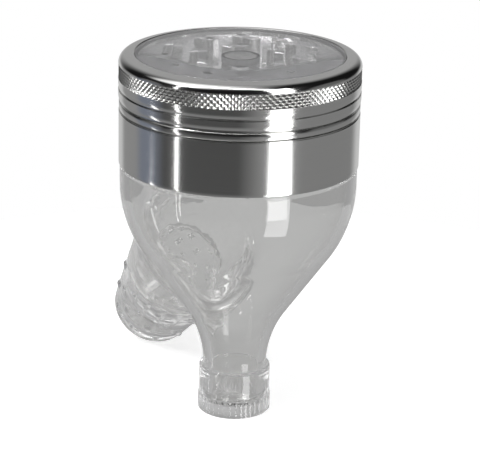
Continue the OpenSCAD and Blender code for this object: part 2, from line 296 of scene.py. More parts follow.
def arc(cr, cz, r, start, end, steps=8):
    """Rows (radius, height) along an arc about (cr, cz), from one angle in degrees to another."""
    a = np.radians(np.linspace(start, end, steps + 1))
    return np.stack([cr + r * np.cos(a), cz + r * np.sin(a)], -1).tolist()


def smooth_copy(node, name, finish, bevel=0.0, sharp=30.0, inset=0.0):
    """A merged copy of a CAD node, shaded smooth, with its sharp edges broken by a bevel.

    An inset draws its faces in, so that a clear piece has a film of air round it.
    """
    merge = 0.0005 * MM
    mesh = frame["nodes"][node].data.copy()
    mesh.name = name
    work = bmesh.new()
    work.from_mesh(mesh)
    bmesh.ops.remove_doubles(work, verts=work.verts[:], dist=merge)
    work.to_mesh(mesh)
    work.free()
    obj = object_of(name, mesh, [finish], sharp)
    if bevel:
        broken = obj.modifiers.new("broken edges", "BEVEL")
        broken.width = bevel
        broken.segments = 2
        broken.limit_method = "ANGLE"
        broken.angle_limit = math.radians(sharp)
        broken.harden_normals = True
    if inset:
        film = obj.modifiers.new("film of air", "DISPLACE")
        film.strength = -inset
        film.mid_level = 0
    return obj


# ---- Materials ----

GLASS_IOR = 1.47
ACRYLIC_IOR = 1.49
SILICONE_IOR = 1.41
# Lathe lines in a metre, and the octaves of a fine grain and of a slow ripple
LATHE_LINES = 5200
FINE_DETAIL = 3.0
SLOW_DETAIL = 1.5
# How far a metal's or a plastic's tone and roughness wander, as parts of the value
METAL_TONES = (0.93, 1.05)
METAL_SHEEN = (0.8, 1.2)
PLAIN_TONES = (0.88, 1.08)
PLAIN_SHEEN = (0.85, 1.15)
# How much the studs mirror, and the part of a stud's height at which they do so in full
STUD_MIRROR = 0.5
STUD_EDGE = 0.3


def feed(tree, node, inputs):
    """Gives a node's inputs their numbers or colours, or joins other nodes' outputs to them."""
    for key, source in inputs.items():
        if isinstance(source, bpy.types.NodeSocket):
            tree.links.new(source, node.inputs[key])
        else:
            node.inputs[key].default_value = source


def add(tree, kind, inputs=None, **settings):
    """A new node with its settings and inputs."""
    node = tree.nodes.new(kind)
    for key, value in settings.items():
        setattr(node, key, value)
    feed(tree, node, inputs or {})
    return node


def maths(tree, operation, a, b):
    """The output of a Math node on two numbers or outputs."""
    return add(tree, "ShaderNodeMath", {0: a, 1: b}, operation=operation).outputs[0]


def product(tree, *factors):
    """Two or more numbers or outputs, multiplied together."""
    total = factors[0]
    for factor in factors[1:]:
        total = maths(tree, "MULTIPLY", total, factor)
    return total


def colour_mix(tree, factor, a, b):
    """The output of a mix of two colours or outputs, all the first at a factor of 0."""
    node = add(tree, "ShaderNodeMix", data_type="RGBA")
    feed(tree, node, {"Factor": factor, "A": a, "B": b})
    return node.outputs["Result"]


def shade(colour, factor):
    """A colour made lighter or darker by a factor."""
    return tuple(min(1.0, c * factor) for c in colour)


def opaque(colour):
    """A colour with the full alpha that a socket takes."""
    return (*colour, 1)


def noise_at(tree, place, scale, detail):
    """The output of a noise at a place, with about that many grains in a metre."""
    inputs = {"Vector": place, "Scale": scale, "Detail": detail}
    return add(tree, "ShaderNodeTexNoise", inputs).outputs["Fac"]


def object_place(tree):
    """The output that holds a point's object coordinates."""
    return add(tree, "ShaderNodeTexCoord").outputs["Object"]


def lathe_lines(tree):
    """Noise in the radius and the height only, so that it runs round the work as lathe marks do."""
    split = add(tree, "ShaderNodeSeparateXYZ", {0: object_place(tree)})
    flat = add(tree, "ShaderNodeCombineXYZ", {"X": split.outputs["X"], "Y": split.outputs["Y"]})
    radius = add(tree, "ShaderNodeVectorMath", {0: flat.outputs[0]}, operation="LENGTH")
    rings = add(tree, "ShaderNodeCombineXYZ", {"X": radius.outputs["Value"], "Z": split.outputs["Z"]})
    return noise_at(tree, rings.outputs[0], LATHE_LINES, FINE_DETAIL)


def bump(tree, shader, height, strength, distance):
    """Joins a height to the shader's normal through a bump."""
    node = add(tree, "ShaderNodeBump", {"Height": height, "Strength": strength, "Distance": distance})
    feed(tree, shader, {"Normal": node.outputs["Normal"]})


def wander(tree, shader, value, colour, tones, roughness, sheen):
    """Lets a value of 0 to 1 move the shader's colour and roughness between two ends."""
    spread = add(tree, "ShaderNodeMapRange", {
        "Value": value, "To Min": roughness * sheen[0], "To Max": roughness * sheen[1]})
    mixed = colour_mix(tree, value, *[opaque(shade(colour, tone)) for tone in tones])
    feed(tree, shader, {"Base Color": mixed, "Roughness": spread.outputs["Result"]})


def material(name):
    """A new node material, its node tree and its Principled shader."""
    mat = bpy.data.materials.new(name)
    mat.use_nodes = True
    return mat, mat.node_tree, mat.node_tree.nodes["Principled BSDF"]


def clear_material(name, colour, ior, ripple, ripple_size, roughness=0.0, clear=1.0, gloss=0.5):
    """Clear glass or plastic with a slow ripple, as it has where it was blown or moulded.

    What is left of the clear part is a pale haze. A gloss over 0.5 makes it mirror more.
    """
    mat, tree, shader = material(name)
    feed(tree, shader, {"Base Color": opaque(colour), "Transmission Weight": clear, "IOR": ior,
                        "Specular IOR Level": gloss, "Roughness": roughness})
    waves = noise_at(tree, object_place(tree), 1 / ripple_size, SLOW_DETAIL)
    bump(tree, shader, waves, 0.6, ripple)
    return mat


def metal_material(name, colour, roughness, anisotropy=0.0, line_depth=0.0):
    """Turned aluminium: fine lathe lines, and highlights drawn out across them."""
    mat, tree, shader = material(name)
    around = add(tree, "ShaderNodeTangent", direction_type="RADIAL", axis="Z")
    feed(tree, shader, {"Metallic": 1.0, "Anisotropic": anisotropy, "Anisotropic Rotation": 0.25,
                        "Tangent": around.outputs["Tangent"]})
    lines = lathe_lines(tree)
    wander(tree, shader, lines, colour, METAL_TONES, roughness, METAL_SHEEN)
    if line_depth:
        bump(tree, shader, lines, 1.0, line_depth)
    return mat


def plain_material(name, colour, roughness, grain, grain_size, metallic=0.0):
    """Plain plastic, rubber or bare metal with a fine grain."""
    mat, tree, shader = material(name)
    feed(tree, shader, {"Metallic": metallic})
    grains = noise_at(tree, object_place(tree), 1 / grain_size, FINE_DETAIL)
    wander(tree, shader, grains, colour, PLAIN_TONES, roughness, PLAIN_SHEEN)
    bump(tree, shader, grains, 0.5, grain)
    return mat


def named(name, make, *values, **more):
    """The material of that name, made the first time it is asked for."""
    return bpy.data.materials.get(name) or make(name, *values, **more)


def glass_material():
    """Clear blown glass."""
    return named("blown glass", clear_material, colours().glass, GLASS_IOR,
                 ripple=0.03 * MM, ripple_size=9 * MM, gloss=0.85)


def window_material():
    """Clear acrylic with a smoky tint and the fine haze of use."""
    return named("clear acrylic", clear_material, colours().window, ACRYLIC_IOR,
                 ripple=0.01 * MM, ripple_size=4 * MM, roughness=0.03, clear=0.86)


def clear_moulding(name):
    """Clear moulded plastic, as both caps are made of."""
    return clear_material(name, colours().cap, ACRYLIC_IOR,
                          ripple=0.02 * MM, ripple_size=3 * MM, gloss=1.0)


def studded_moulding(name):
    """Clear moulded plastic that mirrors more on the studs, by the piece's stud attribute."""
    mat = clear_moulding(name)
    tree = mat.node_tree
    stud = add(tree, "ShaderNodeAttribute", attribute_name="stud")
    mirror = add(tree, "ShaderNodeMapRange", {
        "Value": stud.outputs["Fac"], "From Max": STUD_EDGE, "To Max": STUD_MIRROR},
        interpolation_type="SMOOTHSTEP")
    feed(tree, tree.nodes["Principled BSDF"], {"Metallic": mirror.outputs["Result"]})
    return mat


def cap_material():
    """Clear moulded plastic for the neck cap."""
    return named("clear moulding", clear_moulding)


def studded_material():
    """Clear moulded plastic for the studded cap."""
    return named("studded moulding", studded_moulding)


def turned_metal():
    """Bright aluminium with fine lathe lines."""
    return named("turned aluminium", metal_material, colours().metal,
                 roughness=0.17, anisotropy=0.7, line_depth=0.004 * MM)


def polished_metal():
    """Polished aluminium for the lid's rim."""
    return named("polished aluminium", metal_material, colours().metal,
                 roughness=0.13, anisotropy=0.3)


def knurled_metal():
    """Cut aluminium for the knurled band."""
    return named("knurled aluminium", metal_material, shade(colours().metal, 0.95),
                 roughness=0.22)


def milled_metal():
    """Bright milled aluminium for the teeth."""
    return named("milled aluminium", plain_material, shade(colours().metal, 1.15),
                 roughness=0.09, grain=0.004 * MM, grain_size=0.4 * MM, metallic=1.0)


def blasted_metal():
    """Dull blasted aluminium for the post."""
    return named("blasted aluminium", plain_material, shade(colours().metal, 0.5),
                 roughness=0.65, grain=0.01 * MM, grain_size=0.2 * MM, metallic=1.0)


def rubber():
    """Matt dark rubber."""
    return named("dark rubber", plain_material, colours().rubber,
                 roughness=0.7, grain=0.01 * MM, grain_size=0.3 * MM)


def nylon():
    """Natural nylon."""
    return named("natural nylon", plain_material, colours().nylon,
                 roughness=0.45, grain=0.008 * MM, grain_size=0.5 * MM)


def silicone():
    """Milky soft silicone, which lets light through."""
    return named("milky silicone", clear_material, (0.96, 0.96, 0.955), SILICONE_IOR,
                 ripple=0.001 * MM, ripple_size=1 * MM)


def plating():
    """Nickel plating on the magnets."""
    return named("nickel plating", plain_material, (0.62, 0.61, 0.58),
                 roughness=0.16, grain=0.004 * MM, grain_size=0.6 * MM, metallic=1.0)


def dark_steel():
    """Dark pressed steel for the magnet's cup."""
    return named("dark steel", plain_material, (0.10, 0.10, 0.11),
                 roughness=0.6, grain=0.006 * MM, grain_size=0.5 * MM, metallic=1.0)


# ---- The glass vessel, as the skin of a field of distances ----

# How the skin's points are pulled onto the surface: the reach over which the slope is taken,
# how often, the most that one pull may move a point, as a part of the grid's spacing, and
# the least that the square of the slope counts as
PULL_REACH = 0.01 * MM
PULLS = 4
LONGEST_PULL = 0.5
LEAST_SLOPE = 0.05
NEAR_ZERO = 1e-12


def smooth_low(a, b, width):
    """The lower of two fields, rounded over where they cross.

    It is the lower one less a quarter of the width, times the square of how near they are.
    """
    near = np.maximum(width - np.abs(a - b), 0) / width
    return np.minimum(a, b) - near * near * width / 4


def smooth_high(a, b, width):
    """The higher of two fields, rounded over where they cross."""
    return -smooth_low(-a, -b, width)


def side_radius(z, inwards):
    """Radius of the vessel's side at a height, moved inwards by a distance.

    From below it is a straight neck, an arc that opens it, a straight funnel, an arc that
    closes the shoulder, and a straight body.
    """
    throat = THROAT_ARC + inwards
    shoulder = SHOULDER_ARC - inwards
    rise = np.clip(z - THROAT_Z, 0, throat * math.sin(FUNNEL_ANGLE))
    lower = NECK_R + THROAT_ARC - np.sqrt(throat ** 2 - rise ** 2)
    fall = np.clip(SHOULDER_Z - z, 0, shoulder * math.sin(FUNNEL_ANGLE))
    upper = BODY_R - SHOULDER_ARC + np.sqrt(shoulder ** 2 - fall ** 2)
    straight = np.maximum(z - THROAT_Z - throat * math.sin(FUNNEL_ANGLE), 0)
    funnel = lower + straight * math.tan(FUNNEL_ANGLE)
    return np.minimum(funnel, upper)


def outer_side(z):
    """Radius of the vessel's outside, which steps in smoothly to the mouth under the band."""
    rise = np.clip((z - BAND_LOW) / BAND_BEVEL + STEP_START, 0, 1)
    return side_radius(z, 0.0) - rise * rise * (3 - 2 * rise) * (BODY_R - MOUTH_R)


def away_from_side(radius, z, side, step=0.02 * MM):
    """Distance from a turned side: the radius less the side's, times the cosine of its slope."""
    slope = (side(z + step) - side(z - step)) / (2 * step)
    return (radius - side(z)) / np.sqrt(1 + slope ** 2)


def arm_radius(s, inwards):
    """Radius of the side arm's glass at a distance from the cap's end, moved inwards.

    It is a straight spigot, a flare, a shoulder for the cap to close on, and a taper.
    """
    shoulder_r = ARM_END_R + ARM_TAPER * ARM_SHOULDER_S
    flare_r = shoulder_r - ARM_SHOULDER
    far_r = ARM_END_R + ARM_TAPER * ARM_LEN
    if inwards:
        stops = [ARM_FLARE_S, ARM_SHOULDER_S, ARM_LEN]
        radii = [NECK_R, flare_r, far_r]
    else:
        stops = [ARM_FLARE_S, ARM_SHOULDER_S - 0.1 * MM, ARM_SHOULDER_S + 0.2 * MM, ARM_LEN]
        radii = [NECK_R, flare_r, shoulder_r, far_r]
    return np.interp(s, stops, radii) - inwards


def vessel_field(points):
    """Distance from the glass: below zero in the wall, above it outside and in the hollow.

    The outside and the hollow are each a turned side joined smoothly to a tapered arm, and
    the wall is what lies in the first and not in the second, cut off at the three rims.
    """
    wall = sizes().glass_wall
    fillet = sizes().fillet
    x, y, z = points[..., 0], points[..., 1], points[..., 2]
    radius = np.sqrt(x * x + y * y)
    offset = points - ARM_END
    s = -(offset @ ARM_OUT)
    across = np.sqrt(np.maximum((offset ** 2).sum(-1) - s * s, NEAR_ZERO))

    def shell(side, inwards):
        """Distance from a turned side joined smoothly to the arm."""
        body = away_from_side(radius, z, side)
        arm = away_from_side(across, s, lambda along: arm_radius(along, inwards))
        return smooth_low(body, np.maximum(arm, s - ARM_LEN), fillet)

    hollow = shell(lambda height: side_radius(height, wall), wall)
    glass = np.maximum(shell(outer_side, 0.0), -hollow)
    for plane in (z - MOUTH_TOP, NECK_RIM - z, ARM_RIM_S - s):
        glass = smooth_high(glass, plane, RIM_ROUND)
    return glass


def pulled(field, points, step):
    """Points moved along a field's slope until they lie where the field is zero.

    Each move is the field times its slope, over the square of the slope's length.
    """
    for _ in range(PULLS):
        slope = np.stack([field(points + PULL_REACH * e) - field(points - PULL_REACH * e)
                          for e in np.eye(3)], -1) / (2 * PULL_REACH)
        steepness = np.maximum((slope ** 2).sum(-1, keepdims=True), LEAST_SLOPE)
        move = field(points)[:, None] * slope / steepness
        length = np.maximum(np.linalg.norm(move, axis=-1, keepdims=True), NEAR_ZERO)
        points = points - move * np.minimum(1, LONGEST_PULL * step / length)
    return points


def skin(field, low, high, step):
    """Points and quads of the surface where a field is zero, found on a grid.

    Each grid cell that the surface passes through gets one point, the mean of the places
    where its edges cross zero. Each crossed edge gets one quad, between the four cells
    round it. The points are then pulled onto the surface.
    """
    axes = [np.arange(low[i], high[i] + step, step) for i in range(3)]
    cells = [len(a) - 1 for a in axes]
    value = np.empty([len(a) for a in axes])
    for i, x in enumerate(axes[0]):
        slab = np.stack(np.meshgrid([x], axes[1], axes[2], indexing="ij"), -1)
        value[i] = field(slab)[0]
    total = np.zeros((*cells, 3))
    count = np.zeros(cells)
    crossings = []
    for axis in range(3):
        a = np.take(value, range(cells[axis]), axis)
        b = np.take(value, range(1, cells[axis] + 1), axis)
        crossed = (a < 0) != (b < 0)
        share = np.where(crossed, a / np.where(crossed, a - b, 1), 0)
        crossings.append((crossed, a < 0))
        u, v = [k for k in range(3) if k != axis]
        for du, dv in ((0, 0), (0, 1), (1, 0), (1, 1)):
            window = [slice(None)] * 3
            window[u] = slice(du, du + cells[u])
            window[v] = slice(dv, dv + cells[v])
            here = crossed[tuple(window)]
            count += here
            total[..., axis] += share[tuple(window)] * here
            total[..., u] += du * here
            total[..., v] += dv * here
    used = count > 0
    index = -np.ones(cells, np.int64)
    index[used] = np.arange(used.sum())
    points = np.array(low) + step * (np.argwhere(used) + total[used] / count[used][:, None])
    quads = []
    for axis, (crossed, inside) in enumerate(crossings):
        u, v = [k for k in range(3) if k != axis]
        at = np.argwhere(crossed)
        at = at[(at[:, u] > 0) & (at[:, v] > 0) & (at[:, u] < cells[u]) & (at[:, v] < cells[v])]
        corners = []
        for du, dv in ((1, 1), (0, 1), (0, 0), (1, 0)):
            cell = at.copy()
            cell[:, u] -= du
            cell[:, v] -= dv
            corners.append(index[tuple(cell.T)])
        quad = np.stack(corners, -1)
        flip = inside[tuple(at.T)] == (axis == 1)
        quad[flip] = quad[flip][:, ::-1]
        quads.append(quad)
    return pulled(field, points, step), np.concatenate(quads)


class GRINDER_OT_vessel(bpy.types.Operator):
    """Build the glass vessel with its neck and side arm"""

    bl_idname = "grinder.vessel"
    bl_label = "Glass vessel"

    def execute(self, context):
        grid = sizes().glass_grid
        low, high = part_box("bottle")
        margin = 2 * grid
        points, quads = skin(vessel_field, [c - margin for c in low], [c + margin for c in high], grid)
        obj = solid_from("glass_vessel", points, quads.tolist(), [glass_material()], sharp=50)
        place(obj, "glass_vessel", ["bottle"], "clear_glass")
        return {"FINISHED"}


# ---- The caps ----

RIB_COLUMNS = 12
SIDE_CAP_COLUMNS = 240
END_ROWS = 34
SIDE_EDGE_STEPS = 5
SIDE_ROWS = 84
END_STUDS = 8
END_RING_R = 5.85 * MM
STUD_FIRST_S = 4 * MM
STUD_RING_STEP = 6 * MM
STUD_RINGS = 4
STUD_PROUD = 0.5


def neck_cap_outline(base, rib_top, edge):
    """Rows (radius, height) of the neck cap, from under its base, up its side and down its bore.

    The base is upright between an arc and a slope in to the skirt, whose top edge is an arc.
    """
    bore = NECK_R + CAP_CLEAR
    skirt = base - BASE_STEP
    corner = 0.6 * MM
    slope, slope_h = 0.05 * MM, 0.2 * MM
    skirt_low = rib_top + 0.35 * MM
    lead, lead_h = 0.1 * MM, 0.15 * MM
    cove = 0.3 * MM
    floor = low_z("neck_cap_liner")
    foot = ([[0.5 * base, 0]] + arc(base - edge, edge, edge, -90, 0, 4)
            + [[base, part * rib_top] for part in (0.25, 0.5, 0.75)]
            + [[base, rib_top - edge], [base, rib_top]])
    side = ([[skirt + slope, rib_top + slope_h], [skirt, skirt_low], [skirt, 0.5 * NECK_CAP_TOP]]
            + arc(skirt - corner, NECK_CAP_TOP - corner, corner, 0, 90, 6))
    inside = [[bore + lead, NECK_CAP_TOP], [bore, NECK_CAP_TOP - lead_h], [bore, 0.7 * NECK_CAP_TOP],
              [bore, floor + cove], [bore - cove, floor], [0.5 * bore, floor]]
    return np.array(foot + side + inside)


class GRINDER_OT_neck_cap(bpy.types.Operator):
    """Build the clear ribbed cap on the neck"""

    bl_idname = "grinder.neck_cap"
    bl_label = "Neck cap"

    def execute(self, context):
        base = NECK_R + CAP_CLEAR + NECK_CAP_WALL + BASE_STEP
        rib = 0.15 * MM
        rib_top = 4.6 * MM
        edge = 0.3 * MM
        outline = neck_cap_outline(base, rib_top, edge)
        columns = sizes().ribs * RIB_COLUMNS
        grid = turned_points(outline, columns)

        # A rib swells the base by the root of the size of a cosine that is zero between ribs
        turn = np.arange(columns) * TURN / columns
        wave = np.sqrt(np.abs(np.cos(turn * sizes().ribs / 2)))
        near = 0.01 * MM
        ribbed = ((outline[:, 0] > base - near) & (outline[:, 1] >= edge)
                  & (outline[:, 1] <= rib_top - edge + near))
        grid[..., :2] *= (1 + ribbed[:, None] * wave * rib / base)[..., None]
        points, faces = capped(grid, (0, 0, 0), (0, 0, low_z("neck_cap_liner")))
        obj = solid_from("neck_screw_cap", points, faces, [cap_material()], sharp=40)
        place(obj, "neck_closure", ["neck_cap"], "clear_cap")
        return {"FINISHED"}


def arm_frame():
    """The matrix that carries a shape along +Z from the origin to the end of the side arm."""
    outwards = Vector(ARM_OUT)
    sideways = outwards.cross(Vector((0, 0, 1))).normalized()
    upwards = outwards.cross(sideways)
    turn = Matrix((sideways, upwards, outwards)).transposed().to_4x4()
    return Matrix.Translation(Vector(ARM_END)) @ turn


def side_cap_outline(along):
    """Rows (radius, height) of the side cap, from the middle of its end, which is at height 0.

    The side is a straight taper less a turned line, which falls off as the exponential of
    minus the square of the distance from its middle.
    """
    edge = 0.4 * MM
    line_depth, line_s, line_w = 0.22 * MM, 1.85 * MM, 0.28 * MM
    bore = NECK_R + CAP_CLEAR
    bore_mid = 8 * MM
    cove = 0.4 * MM
    mouth_in = ARM_END_R + ARM_TAPER * SIDE_CAP_LEN - 1.5 * MM
    end = [[part * (ARM_END_R - edge), 0.0] for part in np.linspace(0.02, 1, END_ROWS)]
    corner = arc(ARM_END_R - edge, -edge, edge, 90, 0, SIDE_EDGE_STEPS)
    line = line_depth * np.exp(-((along - line_s) / line_w) ** 2)
    side = np.stack([ARM_END_R + ARM_TAPER * along - line, -along], -1).tolist()
    inside = [[mouth_in, -SIDE_CAP_LEN], [bore, -ARM_FLARE_S], [bore, -bore_mid],
              [bore, -SIDE_END_T - cove], [bore - cove, -SIDE_END_T], [0.5 * bore, -SIDE_END_T]]
    return np.array(end + corner + side + inside)


def stud_height(distance, radius, proud):
    """Height of a round stud over the surface: a ball's cap, from the distance to its middle."""
    inside = np.maximum(radius ** 2 - distance ** 2, 0)
    return np.maximum(np.sqrt(inside) - (radius - proud), 0)


def nearest_turn(turn, step, first=0.0):
    """Angle from each turn to the nearest of the studs that stand a step apart."""
    return (turn - first + step / 2) % step - step / 2


class GRINDER_OT_side_cap(bpy.types.Operator):
    """Build the clear studded cap on the side arm"""

    bl_idname = "grinder.side_cap"
    bl_label = "Side cap"

    def execute(self, context):
        radius = sizes().stud_radius
        proud = STUD_PROUD * radius
        along = np.linspace(1.0 * MM, SIDE_CAP_LEN, SIDE_ROWS)
        outline = side_cap_outline(along)
        grid = turned_points(outline, SIDE_CAP_COLUMNS)
        turn = np.arange(SIDE_CAP_COLUMNS) * TURN / SIDE_CAP_COLUMNS
        studs = np.zeros(grid.shape[:2])

        # Studs on the end stand out along the cap's axis
        ends = slice(0, END_ROWS)
        r = outline[ends, :1]
        off = nearest_turn(turn, TURN / END_STUDS)
        distance = np.sqrt(r ** 2 + END_RING_R ** 2 - 2 * r * END_RING_R * np.cos(off))
        studs[ends] = stud_height(distance, radius, proud)
        grid[ends, :, 2] += studs[ends]

        # Studs round the side stand out from the axis, in rings turned half a step
        first = END_ROWS + SIDE_EDGE_STEPS + 1
        sides = slice(first, first + SIDE_ROWS)
        step = TURN / sizes().studs_round
        for i in range(STUD_RINGS):
            around = nearest_turn(turn, step, i * step / 2) * outline[sides, :1]
            up = along[:, None] - (STUD_FIRST_S + STUD_RING_STEP * i)
            rise = stud_height(np.sqrt(around ** 2 + up ** 2), radius, proud)
            studs[sides] = np.maximum(studs[sides], rise)
        grid[sides, :, :2] *= (1 + studs[sides] / outline[sides, :1])[..., None]

        points, faces = capped(grid, (0, 0, 0), (0, 0, -SIDE_END_T))
        obj = solid_from("studded_side_cap", points, faces, [studded_material()], sharp=60)
        tips = obj.data.attributes.new("stud", "FLOAT", "POINT")
        tips.data.foreach_set("value", np.append(studs / proud, (0, 0)))
        obj.data.transform(arm_frame())
        place(obj, "side_closure", ["side_cap"], "clear_cap")
        return {"FINISHED"}


# ---- Lid, window, band and chamber ----

# The shadow gap at each seam, and the height and sag of the edge over it that curves in
SEAM = 0.5 * MM
LIP = 1.1 * MM
SAG = 0.13 * MM
LIP_ROWS = 7
KNURL_STEPS = 6
LID_EDGE = 2.4 * MM
RIM_FALL = 0.25 * MM
EDGE_Z = LID_TOP - RIM_FALL - LID_EDGE
KNURL_LOW = EDGE_Z - 3.75 * MM
KNURL_OVER = 0.4 * MM
CREST_SINK = 0.02 * MM
WINDOW_COLUMNS = 240
BAND_COLUMNS = 256


def lip_rows(radius, low):
    """Rows of a side's lower edge, which curves in by the sag with the square of the way down."""
    down = np.linspace(1, 0, LIP_ROWS)
    return np.stack([radius - SAG * down ** 2, low + LIP * (1 - down)], -1).tolist()


def knurl_rows():
    """Rows of the crests of the knurled band, which follow the lid's side and then its edge."""
    step = sizes().knurl_pitch / KNURL_STEPS
    count = int((EDGE_Z + KNURL_OVER - KNURL_LOW) / step)
    height = KNURL_LOW + step * np.arange(count + 1)
    over = np.maximum(height - EDGE_Z, 0)
    radius = LID_R - CREST_SINK - LID_EDGE + np.sqrt(LID_EDGE ** 2 - over ** 2)
    return np.stack([radius, height], -1)


def knurl_depths(rows, columns):
    """How far a place on the knurled band lies below its crests, as a part of the depth.

    It is 1 less the size of cos(pi(u + v)) times cos(pi(u - v)), where u counts diamonds
    round the lid and v counts them upwards, so that crossed grooves part rounded crests.
    """
    v, u = np.meshgrid(np.arange(rows) / KNURL_STEPS, np.arange(columns) / KNURL_STEPS, indexing="ij")
    return 1 - np.abs(np.cos(math.pi * (u + v)) * np.cos(math.pi * (u - v)))


def split_quads(quads, first):
    """Two triangles for each quad, cut along the diagonal that the first corners start from."""
    a, b, c, d = [np.roll(quads, -first, axis=1)[:, i] for i in range(4)]
    return np.concatenate([np.stack([a, b, c], -1), np.stack([a, c, d], -1)]).tolist()


def skirt_rows():
    """Rows of the lid from its bore's lower edge, round its skirt and groove, to the knurl."""
    recess = LID_R - 0.45 * MM
    groove_z = LID_LOW + 3.1 * MM
    half = 0.3 * MM
    return ([[LID_BORE_R, LID_LOW], [recess, LID_LOW], [recess, LID_LOW + SEAM]]
            + lip_rows(LID_R, LID_LOW + SEAM)
            + [[LID_R, groove_z - half], [recess, groove_z - half], [recess, groove_z + half]]
            + lip_rows(LID_R, groove_z + half)
            + [[LID_R, KNURL_LOW - CREST_SINK]])


def rim_rows(knurl_top):
    """Rows of the lid from the knurl over its rim, in to the window's seat and down its bore."""
    start = math.degrees(math.asin((knurl_top + CREST_SINK - EDGE_Z) / LID_EDGE))
    ledge_in = WINDOW_SEAT_R - 1.3 * MM
    ledge_top = WINDOW_LOW - 0.6 * MM
    ledge_low = ledge_top - 1.2 * MM
    lead, lead_h = 0.25 * MM, 0.02 * MM
    ring_in = LID_BORE_R + 0.7 * MM
    ring_low = LID_LOW + 1.55 * MM
    ring_top = ring_low + 2.1 * MM
    return (arc(LID_R - LID_EDGE, EDGE_Z, LID_EDGE, start, 85, 14)
            + [[WINDOW_SEAT_R + 1.5 * MM, LID_TOP - 0.5 * RIM_FALL],
               [WINDOW_SEAT_R + lead, LID_TOP - lead_h], [WINDOW_SEAT_R, LID_TOP - lead],
               [WINDOW_SEAT_R, ledge_top], [ledge_in, ledge_top], [ledge_in, ledge_low],
               [LID_BORE_R, ledge_low], [LID_BORE_R, ring_top], [ring_in, ring_top],
               [ring_in, ring_low], [LID_BORE_R, ring_low]])


def finish_lid(obj, knurl_top):
    """Gives the lid's faces their finish: turned, knurled between two heights, or polished."""
    knurl_in = LID_BORE_R + 1.2 * MM
    rim_in = WINDOW_SEAT_R + 0.02 * MM
    centres = np.empty(len(obj.data.polygons) * 3)
    obj.data.polygons.foreach_get("center", centres)
    x, y, z = centres.reshape(-1, 3).T
    out = np.hypot(x, y)
    knurled = (z > KNURL_LOW) & (z < knurl_top) & (out > knurl_in)
    polished = (z >= knurl_top) & (out > rim_in)
    finish = np.where(polished, 2, np.where(knurled, 1, 0))
    obj.data.polygons.foreach_set("material_index", finish.astype(np.int32))


class GRINDER_OT_lid_ring(bpy.types.Operator):
    """Build the lid with its knurled band, turned groove and polished rim"""

    bl_idname = "grinder.lid_ring"
    bl_label = "Lid ring"

    def execute(self, context):
        columns = KNURL_STEPS * sizes().knurls
        below = skirt_rows()
        knurl = knurl_rows()
        knurl_top = knurl[-1, 1]
        outline = np.array(below + knurl.tolist() + rim_rows(knurl_top))
        grid = turned_points(outline, columns)
        start = len(below)
        deep = knurl_depths(len(knurl), columns) * sizes().knurl_depth
        grid[start:start + len(knurl), :, :2] *= (1 - deep / knurl[:, :1])[..., None]

        # The knurl's quads are cut along the grooves, which fall or rise by turns
        quads = grid_faces(len(outline), columns, True)
        row = quads[:, 0] // columns - start
        cut = (row >= 0) & (row < len(knurl) - 1)
        falling = (quads[:, 0] % columns + row + 1) % KNURL_STEPS == KNURL_STEPS // 2
        faces = (quads[~cut].tolist() + split_quads(quads[cut & falling], 1)
                 + split_quads(quads[cut & ~falling], 0))
        obj = solid_from("knurled_lid", grid.reshape(-1, 3), faces,
                         [turned_metal(), knurled_metal(), polished_metal()], sharp=24)
        finish_lid(obj, knurl_top)
        place(obj, "lid", ["lid_ring"], "turned_aluminium")
        return {"FINISHED"}


class GRINDER_OT_window(bpy.types.Operator):
    """Build the clear window with its broken edges"""

    bl_idname = "grinder.window"
    bl_label = "Window"

    def execute(self, context):
        edge = 0.25 * MM
        outline = ([[0.5 * WINDOW_R, WINDOW_LOW]]
                   + arc(WINDOW_R - edge, WINDOW_LOW + edge, edge, -90, 0, 4)
                   + arc(WINDOW_R - edge, LID_TOP - edge, edge, 0, 90, 4)
                   + [[0.5 * WINDOW_R, LID_TOP]])
        grid = turned_points(outline, WINDOW_COLUMNS)
        points, faces = capped(grid, (0, 0, WINDOW_LOW), (0, 0, LID_TOP))
        obj = solid_from("clear_window", points, faces, [window_material()], sharp=50)
        place(obj, "lid", ["lid_window"], "clear_window")
        return {"FINISHED"}


class GRINDER_OT_band(bpy.types.Operator):
    """Build the coupling band on the glass mouth"""

    bl_idname = "grinder.band"
    bl_label = "Coupling band"

    def execute(self, context):
        skirt_in = BAND_R - 0.95 * MM
        thread = BODY_R - GLASS_WALL - 0.8 * MM
        seat = thread + 1.4 * MM
        seat_z = low_z("chamber_gasket")
        inner_z = high_z("band_seal")
        edge = 0.2 * MM
        lead = 0.6 * MM
        gap = 0.5 * SEAM
        outline = ([[skirt_in, BAND_LOW + lead], [BODY_R - BOND_GAP, BAND_LOW]]
                   + arc(BAND_R - edge, BAND_LOW + edge, edge, -90, 0, 4)
                   + [[BAND_R, BAND_LOW + 5 * edge], [BAND_R, BAND_TOP - gap],
                      [BAND_R - gap, BAND_TOP - gap], [BAND_R - gap, BAND_TOP], [seat, BAND_TOP],
                      [seat, seat_z], [thread, seat_z], [thread, inner_z], [skirt_in, inner_z]])
        grid = turned_points(outline, BAND_COLUMNS)
        faces = grid_faces(len(outline), BAND_COLUMNS, True).tolist()
        obj = solid_from("coupling_band_turned", grid.reshape(-1, 3), faces, [turned_metal()])
        place(obj, "glass_vessel", ["coupling_band"], "turned_aluminium")
        return {"FINISHED"}


